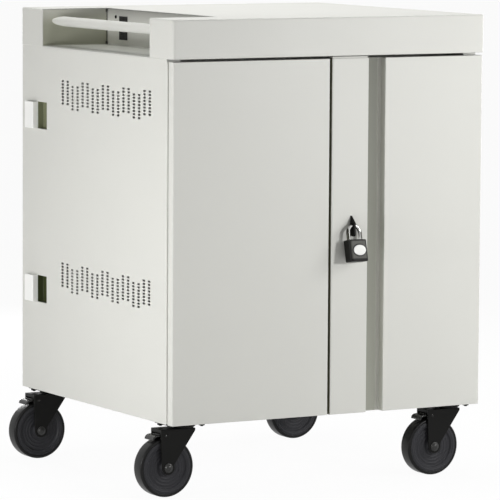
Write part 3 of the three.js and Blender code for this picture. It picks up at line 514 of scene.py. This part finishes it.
def addStripLip():
    low, high = spot("right_door")
    look = lipLook
    half = (look["fromEdge"] / 2 - look["margin"], look["depth"] / 2, (look["rise"] + look["sink"]) / 2)
    place = (low[0] + look["margin"] + half[0], low[1] + look["setBack"] + half[1],
             high[2] + (look["rise"] - look["sink"]) / 2)
    bar = placed(softBlock(half, look["corner"], look["corner"]), place)
    addPiece("strip_top_lip", bar, finishes["powderCoat"], "right_door")


addStripLip()
print("doors done")


# handle well: painted shade on floor and end walls, painted light low on the inner wall, dark folds at its
# corners, and a pan-head screw beside the outlets

wellLook = dict(sheet=1.5, reach=400.0, skin=2.0, skinSoft=1.0, floorColor=(140, 141, 133), shadeSoft=60.0,
                shadeRise=76.0, shadeColor=(170, 171, 154), wallRise=30.0, paintedLightWallColor=(244, 244, 236),
                seamHalf=2.2, seamTall=60.0, seamSoft=1.2, seamColor=(70, 70, 62), notchHalf=4.0,
                notchDrop=4.0, notchRise=3.0, notchSoft=2.0, notchColor=(30, 30, 26))
screwLook = dict(beyond=38.0, drop=18.5, lift=0.1, sink=0.4, radius=4.2, height=2.4, steps=7, sides=20)


def paintWell():
    low, high = spot("handle_well")
    look = wellLook
    reach, skin = look["reach"], look["skin"]
    wall = high[0] - look["sheet"]
    middle = (low + high) / 2

    # painted shade, or painted light on the inner wall, fading upwards, kept on one face of the well
    def risingLightAndShade(centre, faceHalf, rise, color):
        face = dict(centre=centre, half=faceHalf, soft=look["skinSoft"])
        return dict(centre=centre, half=(reach, reach, rise), soft=look["shadeSoft"], color=color,
                    within=face)

    # painted shade on the well's floor, and painted light low on its inner wall
    patches = [dict(centre=(middle[0], middle[1], low[2] + look["sheet"]), half=(reach, reach, skin),
                    soft=look["skinSoft"], color=look["floorColor"]),
               risingLightAndShade((wall, middle[1], low[2]), (skin, reach, reach), look["wallRise"],
                           look["paintedLightWallColor"])]
    # painted shade rising up each end wall
    for end in (low[1] + look["sheet"], high[1] - look["sheet"]):
        patches.append(risingLightAndShade((middle[0], end, low[2]), (reach, skin, reach), look["shadeRise"],
                                   look["shadeColor"]))
        patches.append(dict(centre=(wall, end, middle[2]), soft=look["seamSoft"], color=look["seamColor"],
                            half=(look["seamHalf"], look["seamHalf"], look["seamTall"])))
        for z in (high[2] - look["notchDrop"], low[2] + look["sheet"] + look["notchRise"]):
            patches.append(dict(centre=(wall, end, z), half=(look["notchHalf"],) * 3, soft=look["notchSoft"],
                                color=look["notchColor"]))
    setFinish("handle_well", makeFinish("wellCoat", finishLooks["powderCoat"], patches))


def addWellScrew():
    look = screwLook
    wall = spot("handle_well")[1][0] - wellLook["sheet"]
    outletLow, outletHigh = spot("upper_convenience_outlet")
    place = (wall - look["lift"], (outletLow[1] + outletHigh[1]) / 2 + look["beyond"],
             cadBounds[1][2] / mm - look["drop"])
    profile = headProfile(look["radius"], look["sink"], 0.0, -look["height"], look["steps"])
    addPiece("well_screw", turned(profile, place, "X", look["sides"]), finishes["satinBlack"], "cabinet")


paintWell()
addWellScrew()
print("well done")


# handle bar: a smooth tube between the end walls of the well, drawn in at both ends

barLook = dict(sides=40, rows=80, noseReach=50.0, noseTip=0.35)


# The radius falls to that of the tip along a quarter ellipse, and the axis moves aside by as much.
def addHandleBar():
    low, high = spot("handle_bar")
    centre = (low + high) / 2
    radius = (high[2] - low[2]) / 2
    angle = np.linspace(0, math.pi, barLook["rows"])
    reach = -np.cos(angle) * (high[1] - low[1]) / 2
    fromEnd = np.minimum(reach - reach[0], reach[-1] - reach)
    nose = np.sqrt(1 - (1 - np.clip(fromEnd / barLook["noseReach"], 0, 1)) ** 2)
    drawn = radius * (barLook["noseTip"] + (1 - barLook["noseTip"]) * nose)
    profile = np.stack([np.r_[0, drawn, 0], np.r_[reach[0], reach, reach[-1]]], -1)
    points, faces = turned(profile, centre, "Y", barLook["sides"])
    aside = radius - np.r_[drawn[0], drawn, drawn[-1]]
    points[:, 0] -= np.repeat(aside, barLook["sides"])
    addPiece("handle_tube", (points, faces), finishes["powderCoat"], "cabinet", ["handle_bar"])


addHandleBar()
print("handle done")


# wheels: a disc with shallow rings on both faces inside a black tyre, both turned about the axle

wheelLook = dict(half=17.0, sides=96, sharpAngle=0.5)
discLook = dict(boreRadius=5.4, hubRadius=14.0, hubRound=1.0, webStart=2.0, webFoot=3.0, webHalf=13.0,
                rimInner=47.0, rimSlope=3.0, rimDrop=0.6, split=56.5, splitDrop=0.3, rows=70,
                ringRadii=(24.0, 31.0, 38.0, 52.0), ringWidth=0.9, ringHeight=0.9)
tyreLook = dict(inset=0.4, seam=0.9, seamDepth=1.5, shoulder=4.5, steps=8)


# Both faces of a closed section from one face's (radius, height) pairs.
def mirroredSection(radius, height):
    side = np.stack([radius, height], -1)
    section = np.concatenate([side * [1, -1], side[::-1]])
    return np.concatenate([section, section[:1]])


# Heights of the disc: a web that steps up to the rim, plus a bell curve for each ring.
def discSection(hubHalf):
    look = discLook
    half, hub, rim, split = wheelLook["half"], look["hubRadius"], look["rimInner"], look["split"]
    reach = np.linspace(hub + look["webStart"], split, look["rows"])
    face = np.interp(reach, [hub + look["webFoot"], rim - look["rimSlope"], rim, split],
                     [look["webHalf"], look["webHalf"], half - look["rimDrop"], half - look["splitDrop"]])
    for ring in look["ringRadii"]:
        face = face + look["ringHeight"] * np.exp(-((reach - ring) / look["ringWidth"]) ** 2)
    radius = np.r_[look["boreRadius"], hub - look["hubRound"], hub, reach]
    return mirroredSection(radius, np.r_[hubHalf, hubHalf, hubHalf - look["hubRound"], face])


# Heights of the tyre: a seam beside the disc, a flat wall and a quarter circle to the tread.
def tyreSection(radius):
    look = tyreLook
    half, split, shoulder = wheelLook["half"], discLook["split"], look["shoulder"]
    turn = np.linspace(0, math.pi / 2, look["steps"])
    reach = np.r_[split - look["inset"], split + look["seam"], radius - shoulder * (1 - np.sin(turn))]
    face = np.r_[half - look["seamDepth"], half, half - shoulder * (1 - np.cos(turn))]
    return mirroredSection(reach, face)


def addWheel(corner):
    low, high = spot(f"{corner}_caster_wheel")
    centre = (low + high) / 2
    sides, sharpAngle = wheelLook["sides"], wheelLook["sharpAngle"]
    disc = turned(discSection((high[1] - low[1]) / 2), centre, "Y", sides)
    tyre = turned(tyreSection(centre[2]), centre, "Y", sides)
    addPiece(f"{corner}_wheel_tyre", tyre, finishes["treadRubber"], f"{corner}_wheel",
             [f"{corner}_caster_wheel"], sharpAngle)
    addPiece(f"{corner}_wheel_disc", disc, finishes["wheelRubber"], f"{corner}_wheel", (),
             sharpAngle)


# axle bolts: a shaft with a washer and a domed head in front, a washer and a hexagon nut behind

boltLook = dict(head=5.0, washerRadius=10.0, washer=1.2, domeRadius=7.8, domeSteps=8, shaft=5.0, sides=32,
                stub=4.4, stubChamfer=0.6, nutRadius=8.4, nut=3.0, nutSink=0.1, nutChamfer=(0.8, 0.5),
                sharpAngle=0.5)


def addAxleBolt(corner):
    low, high = spot(f"{corner}_caster_axle")
    centre = (low + high) / 2
    look = boltLook
    end = (high[1] - low[1]) / 2
    seat = end - look["head"]
    face = seat + look["washer"]
    turn = np.linspace(math.pi / 2, 0, look["domeSteps"])
    dome = np.stack([look["domeRadius"] * np.cos(turn), -face - (end - face) * np.sin(turn)], -1)
    washer = look["washerRadius"]
    front = [[washer, -face], [washer, -seat], [look["shaft"], -seat]]
    stub, chamfer = look["stub"], look["stubChamfer"]
    back = [[look["shaft"], seat], [washer, seat], [washer, face], [stub, face], [stub, end - chamfer],
            [stub - chamfer, end], [0, end]]
    shaft = turned(np.concatenate([dome, front, back]), centre, "Y", look["sides"])
    nutLow = face - look["nutSink"]
    nutProfile = pegProfile(look["nutRadius"], nutLow, nutLow + look["nut"], *look["nutChamfer"])
    nut = turned(nutProfile, centre, "Y", hexagon)
    addPiece(f"{corner}_axle_bolt", joined([shaft, nut]), finishes["boltBlack"], f"{corner}_swivel",
             [f"{corner}_caster_axle"], look["sharpAngle"])


# plate fixings: a nut on a short bolt end at each corner of the plate, and a lipped ring around the race

plateLook = dict(acrossX=38.0, acrossY=22.0, thickness=4.0, sink=0.2, nutRadius=7.4, nut=4.6,
                 nutChamfer=(0.9, 0.5), stub=3.4, stubLength=1.8, stubChamfer=(0.5, 0.5), stubSides=12,
                 ringInner=26.6, ringOuter=30.5, ringDrop=6.6, ringSteps=9, ringSides=40, sharpAngle=0.5)


def addPlateFixings(corner):
    low, high = spot(f"{corner}_caster_plate")
    look = plateLook
    middle = (low + high) / 2
    under = high[2] - look["thickness"]
    sink, nut = look["sink"], look["nut"]
    nutProfile = pegProfile(look["nutRadius"], sink, -nut, *look["nutChamfer"])
    stubProfile = pegProfile(look["stub"], sink - nut, -nut - look["stubLength"], *look["stubChamfer"])
    parts = []
    for sideX in (-1, 1):
        for sideY in (-1, 1):
            place = (middle[0] + sideX * look["acrossX"], middle[1] + sideY * look["acrossY"], under)
            parts.append(turned(nutProfile, place, "Z", hexagon))
            parts.append(turned(stubProfile, place, "Z", look["stubSides"]))
    addPiece(f"{corner}_plate_nuts", joined(parts), finishes["casterCoat"], "cabinet", (),
             look["sharpAngle"])
    ring = ringProfile(look["ringInner"], look["ringOuter"], -sink, -look["ringDrop"], look["ringSteps"])
    ring = turned(ring, (middle[0], middle[1], under), "Z", look["ringSides"])
    addPiece(f"{corner}_race_ring", ring, finishes["casterCoat"], "cabinet")


# pedal ribs: low half-round bars across the tread of the brake pedal

ribLook = dict(count=3, first=8.0, pitch=4.5, radius=1.1, forkWall=3.0, forkGap=1.5, inset=3.0, drop=2.4,
               endReach=1.5, endLeast=0.15, rows=8, sides=12)


# The radius of a rib falls at its ends with the root of the distance to them.
def addPedalRibs(corner):
    low, high = spot(f"{corner}_brake_pedal")
    look = ribLook
    forkLow, forkHigh = spot(f"{corner}_caster_fork")
    half = (forkHigh[1] - forkLow[1]) / 2 - look["forkWall"] - look["forkGap"] - look["inset"]
    along = np.linspace(-half, half, look["rows"])
    swell = look["radius"] * np.clip((half - np.abs(along)) / look["endReach"], look["endLeast"], 1.0) ** 0.5
    profile = np.stack([np.r_[0, swell, 0], np.r_[along[0], along, along[-1]]], -1)
    middle, top = (low[1] + high[1]) / 2, high[2] - look["drop"]
    parts = []
    for rib in range(look["count"]):
        x = high[0] - look["first"] - rib * look["pitch"]
        parts.append(turned(profile, (x, middle, top), "Y", look["sides"]))
    addPiece(f"{corner}_pedal_ribs", joined(parts), finishes["pedalGloss"], f"{corner}_pedal")


for corner in corners:
    addWheel(corner)
    addAxleBolt(corner)
    addPlateFixings(corner)
    addPedalRibs(corner)
print("casters done")


# padlock: grey front partly painted light, smooth shackle painted in shade at its sides, and a domed oval
# plate in a dark ring, in the padlock's own frame

padlockLook = dict(place=(78.2283, -345.9286, 564.5), lean=13.0, turn=9.0, top=-31.0, height=47.0,
                   thickness=26.0, wide=48.0, border=(3.0, 6.0, 6.0, 3.5), frontDeep=1.0, frontSoft=3.0,
                   litFrontColor=(100, 100, 95))
shackleLook = dict(bend=16.5, wire=4.0, longLeg=32.0, shortLeg=10.0, bowSteps=40, legSteps=8, sides=28,
                   shadeColor=(44, 44, 38), shadeSoft=2.0, shadeDeep=20.0, shadeTall=60.0, shadeDrop=40.0,
                   legAside=0.8, longLegWide=0.75, shortLegWide=1.1, bowWide=0.75, bowHigh=0.85)
plateOvalLook = dict(half=(16.5, 11.3), thickness=1.6, seat=0.3, sides=48, edge=((1.0, 0.9), (0.985, 0.5)),
                     domeGrow=0.95, domeHeight=0.3, domeSteps=7, ringGrow=2.6,
                     ring=((1.0, 0.2), (1.0, -0.15), (0.97, -0.26)))
padlockTurn = (Matrix.Rotation(math.radians(-padlockLook["lean"]), 3, "X")
               @ Matrix.Rotation(math.radians(padlockLook["turn"]), 3, "Z"))
padlockAxes = np.array(padlockTurn).T
padlockFront = -padlockLook["thickness"] / 2
padlockMiddle = padlockLook["top"] - padlockLook["height"] / 2


def onPadlock(surface):
    return placed(surface, padlockLook["place"], padlockAxes)


def padlockPatch(centre, half, soft, color):
    centre = np.array(centre) @ padlockAxes + np.array(padlockLook["place"])
    return dict(centre=centre, turn=padlockTurn.to_euler("XYZ"), half=half, soft=soft, color=color)


def paintPadlock():
    look = padlockLook
    left, right, bottom, top = look["border"]
    # the grey front is partly the front's own tone and partly painted light of the lit face; the black sides
    # and borders stay dark
    centre = ((left - right) / 2, padlockFront, padlockMiddle + (bottom - top) / 2)
    half = ((look["wide"] - left - right) / 2, look["frontDeep"], (look["height"] - bottom - top) / 2)
    litFront = padlockPatch(centre, half, look["frontSoft"], look["litFrontColor"])
    setFinish("padlock_body", makeFinish("padlockLitFrontCoat", finishLooks["satinBlack"], [litFront]))


# The shackle's path: up the long leg, a half circle, and down the short leg; its outer sides carry painted
# shade in place of dark reflections.
def addShackle():
    look = shackleLook
    bend, wire, top = look["bend"], look["wire"], padlockLook["top"]

    def shade(x, z, halfWide, halfHigh):
        return padlockPatch((x, 0, z), (halfWide, look["shadeDeep"], halfHigh), look["shadeSoft"],
                            look["shadeColor"])

    aside = bend + wire * look["legAside"]
    shades = [shade(-aside, -look["shadeDrop"], wire * look["longLegWide"], look["shadeTall"]),
              shade(aside, -look["shadeDrop"], wire * look["shortLegWide"], look["shadeTall"]),
              shade(0, wire, bend * look["bowWide"], wire * look["bowHigh"])]
    steel = makeFinish("shackleSteel", finishLooks["polishedSteel"], shades)
    bow = np.linspace(math.pi, 0, look["bowSteps"])
    arc = np.stack([bend * np.cos(bow), 0 * bow, bend * np.sin(bow) - bend], -1)
    share = np.linspace(0, 1, look["legSteps"])[:, None]
    longEnd = np.array([-bend, 0, top - look["longLeg"]])
    shortEnd = np.array([bend, 0, top - look["shortLeg"]])
    longLeg = longEnd + (arc[0] - longEnd) * share[:-1]
    shortLeg = arc[-1] + (shortEnd - arc[-1]) * share[1:]
    path = np.concatenate([longLeg, arc, shortLeg])
    addPiece("padlock_bow", onPadlock(tube(path, wire, (0, 1, 0), look["sides"])), steel, "padlock_shackle",
             ["padlock_shackle"])


# An oval for each step of (share of its size, depth), in a row.
def ovalPlate(halfWide, halfHigh, steps):
    angle = np.arange(plateOvalLook["sides"]) * 2 * math.pi / plateOvalLook["sides"]
    oval = np.stack([halfWide * np.cos(angle), 0 * angle, halfHigh * np.sin(angle)], -1)
    return stacked([oval * grow + [0, depth, padlockMiddle] for grow, depth in steps])


def addPadlockPlate():
    look = plateOvalLook
    back = padlockFront - look["seat"]
    face = back - look["thickness"]
    turn = np.linspace(0, math.pi / 2, look["domeSteps"])[:-1]
    dome = zip(look["domeGrow"] * np.cos(turn), face + look["domeHeight"] * (1 - np.sin(turn)))
    steps = [(1.0, back), *((grow, face + depth) for grow, depth in look["edge"]), *dome]
    addPiece("padlock_oval", onPadlock(ovalPlate(*look["half"], steps)), finishes["paleEnamel"],
             "padlock_body", ["padlock_face_plate"])
    grown = [half + look["ringGrow"] for half in look["half"]]
    ring = ovalPlate(*grown, [(grow, padlockFront + depth) for grow, depth in look["ring"]])
    addPiece("padlock_plate_ring", onPadlock(ring), finishes["blackMoulding"], "padlock_body")


paintPadlock()
addShackle()
addPadlockPlate()
print("padlock done")


# sockets of the power strips: a round face in each recess, with two blade slots and an earth hole

socketLook = dict(count=12, length=660.0, depth=7.0, faceRadius=11.5, faceSides=20, rise=2.4, sink=0.2,
                  edge=0.5, rim=1.6, dishRim=2.0, dish=0.5, slotHalf=(1.0, 3.4, 0.5), slotCorner=0.5,
                  slotEdge=0.2, slotSteps=2, slotSink=0.3, slotRise=1.5, spread=6.35, earth=2.2,
                  earthSides=10, earthSink=0.2, earthOut=0.15, earthDrop=6.0)


def addStripSockets(level):
    low, high = spot(f"{level}_power_strip")
    look = socketLook
    pitch = look["length"] / look["count"]
    floor = high[1] - look["depth"]
    firstX = (low[0] + high[0]) / 2 - look["length"] / 2 + pitch / 2
    z = (low[2] + high[2]) / 2
    radius, rise = look["faceRadius"], look["rise"]
    dish = rise - look["dish"]
    face = [[0, -look["sink"]], [radius, -look["sink"]], [radius, rise - look["edge"]],
            [radius - look["edge"], rise], [radius - look["rim"], rise], [radius - look["dishRim"], dish],
            [0, dish]]
    earthLow, earthHigh = dish - look["earthSink"], dish + look["earthOut"]
    earth = [[0, earthLow], [look["earth"], earthLow], [look["earth"], earthHigh], [0, earthHigh]]
    blade = softBlock(look["slotHalf"], look["slotCorner"], look["slotEdge"], look["slotSteps"])
    faces, slots = [], []
    for index in range(look["count"]):
        x = firstX + index * pitch
        faces.append(turned(face, (x, floor, z), "Y", look["faceSides"]))
        slots.append(turned(earth, (x, floor, z - look["earthDrop"]), "Y", look["earthSides"]))
        for side in (-1, 1):
            place = (x + side * look["spread"], floor + dish - look["slotSink"], z + look["slotRise"])
            slots.append(placed(blade, place, upright))
    addPiece(f"{level}_strip_sockets", joined(faces), finishes["rackMoulding"], "cabinet")
    addPiece(f"{level}_strip_slots", joined(slots), finishes["blackMoulding"], "cabinet")


for level in ("lower", "upper"):
    addStripSockets(level)


# inlet: three flat pins in its recess and two domed screws on its flange

inletLook = dict(pinHalf=(1.0, 3.0, 7.0), pinCorner=0.6, pinEdge=0.5, pinSteps=3, pinDepth=14.0, spread=7.0,
                 drop=2.5, screwAcross=19.5, screwRadius=2.6, screwBase=-0.5, screwRim=-0.3, screwTip=0.35,
                 screwSteps=5, screwSides=16)


def dressInlet():
    low, high = spot("power_inlet")
    look = inletLook
    middle = (low + high) / 2
    pin = softBlock(look["pinHalf"], look["pinCorner"], look["pinEdge"], look["pinSteps"])
    pins = []
    for x, z in ((-look["spread"], -look["drop"]), (0, look["drop"]), (look["spread"], -look["drop"])):
        pins.append(placed(pin, (middle[0] + x, high[1] - look["pinDepth"], middle[2] + z), upright))
    addPiece("inlet_pins", joined(pins), finishes["zincPlate"], "cabinet")
    profile = headProfile(look["screwRadius"], look["screwBase"], look["screwRim"], look["screwTip"],
                          look["screwSteps"])
    screws = []
    for side in (-1, 1):
        place = (middle[0] + side * look["screwAcross"], high[1], middle[2])
        screws.append(turned(profile, place, "Y", look["screwSides"]))
    addPiece("inlet_screws", joined(screws), finishes["zincPlate"], "cabinet")


dressInlet()


# rear lock: a rounded collar around the head of the cylinder

collarLook = dict(inner=11.25, outer=14.2, height=2.4, head=3.8, steps=9, sides=36)


def addLockCollar():
    low, high = spot("rear_lock_cylinder")
    middle = (low + high) / 2
    look = collarLook
    place = (middle[0], high[1] - look["head"], middle[2])
    ring = ringProfile(look["inner"], look["outer"], 0.0, look["height"], look["steps"])
    addPiece("rear_lock_collar", turned(ring, place, "Y", look["sides"]), finishes["zincPlate"], "rear_door")


addLockCollar()
print("strips, inlet and lock done")


# camera at the photograph's angle

cameraView = dict(place=(-4.2587, -7.5646, 1.3674), azimuth=29.4916, elevation=5.8104, roll=0.352,
                  lens=283.47, sensor=36.0, clipEnd=400.0)


def addCamera():
    data = bpy.data.cameras.new("camera")
    camera = bpy.data.objects.new("camera", data)
    bpy.context.scene.collection.objects.link(camera)
    data.sensor_width = cameraView["sensor"]
    data.lens = cameraView["lens"]
    data.clip_end = cameraView["clipEnd"]
    tilt = math.radians(90 - cameraView["elevation"])
    turn = math.radians(-cameraView["azimuth"])
    aim = Euler((tilt, 0, turn), "XYZ").to_matrix()
    roll = Euler((0, 0, math.radians(cameraView["roll"])), "XYZ").to_matrix()
    camera.rotation_euler = (aim @ roll).to_euler()
    camera.location = cameraView["place"]
    bpy.context.scene.camera = camera


addCamera()


# studio: a white floor, an even sky and soft lamps

studio = dict(floorReach=60.0, floorColor=(0.92, 0.92, 0.92, 1), floorRoughness=0.9, floorGlow=0.95, sky=0.1)
lamps = {
    "key": dict(place=(1.15, -2.3, 0.95), aim=(0.1, -0.34, 0.6), size=0.24, power=20.9),
    "right": dict(place=(1.9, -1.3, 1.4), aim=(0.3, -0.34, 0.7), size=0.9, power=16.0),
    "left": dict(place=(-2.4, -0.45, 0.5), aim=(-0.35, -0.25, 0.45), size=0.6, power=21.9),
    "leftNear": dict(place=(-1.4, -0.5, 0.68), aim=(-0.35, -0.3, 0.62), size=0.6, power=2.8),
    "top": dict(place=(0.0, 0.3, 3.0), aim=(0.0, 0.1, 1.0), size=1.2, power=40.6),
    "back": dict(place=(0.3, 3.0, 0.75), aim=(0.1, 0.3, 0.5), size=0.8, power=22.0),
    "rightBack": dict(place=(2.8, 0.8, 0.75), aim=(0.35, 0.1, 0.5), size=0.8, power=18.0),
}


# One for the rays that show the white background: straight to the camera, in gloss and through glass.
def backdropRay(tree):
    path = tree.nodes.new("ShaderNodeLightPath")
    seen = mathNode(tree, "MAXIMUM", path.outputs["Is Camera Ray"], path.outputs["Is Glossy Ray"])
    return mathNode(tree, "MAXIMUM", seen, path.outputs["Is Transmission Ray"])


def addFloor():
    reach = studio["floorReach"]
    mesh = bpy.data.meshes.new("floor")
    outline = [(-reach, -reach, 0), (reach, -reach, 0), (reach, reach, 0), (-reach, reach, 0)]
    mesh.from_pydata(outline, [], [(0, 1, 2, 3)])
    floor = bpy.data.objects.new("floor", mesh)
    bpy.context.scene.collection.objects.link(floor)
    material = bpy.data.materials.new("floor")
    material.use_nodes = True
    tree = material.node_tree
    shader = tree.nodes["Principled BSDF"]
    shader.inputs["Base Color"].default_value = studio["floorColor"]
    shader.inputs["Roughness"].default_value = studio["floorRoughness"]
    glow = tree.nodes.new("ShaderNodeEmission")
    blend = tree.nodes.new("ShaderNodeMixShader")
    tree.links.new(mathNode(tree, "MULTIPLY", backdropRay(tree), studio["floorGlow"]), blend.inputs[0])
    tree.links.new(shader.outputs[0], blend.inputs[1])
    tree.links.new(glow.outputs[0], blend.inputs[2])
    tree.links.new(blend.outputs[0], tree.nodes["Material Output"].inputs["Surface"])
    mesh.materials.append(material)


def addSky():
    world = bpy.data.worlds.new("sky")
    world.use_nodes = True
    bpy.context.scene.world = world
    tree = world.node_tree
    background = tree.nodes["Background"]
    background.inputs["Color"].default_value = (1, 1, 1, 1)
    level = tree.nodes.new("ShaderNodeMix")
    level.inputs["A"].default_value = studio["sky"]
    level.inputs["B"].default_value = 1.0
    tree.links.new(backdropRay(tree), level.inputs["Factor"])
    tree.links.new(level.outputs["Result"], background.inputs["Strength"])


def addLamp(name, look):
    data = bpy.data.lights.new(name, "AREA")
    data.shape = "DISK"
    data.size = look["size"]
    data.energy = look["power"]
    lamp = bpy.data.objects.new(name, data)
    lamp.location = look["place"]
    lamp.rotation_euler = (Vector(look["aim"]) - Vector(look["place"])).to_track_quat("-Z", "Y").to_euler()
    lamp.visible_camera = False
    bpy.context.scene.collection.objects.link(lamp)


addFloor()
addSky()
for name, look in lamps.items():
    addLamp(name, look)
bpy.context.scene.view_settings.view_transform = "Standard"
print("studio done")
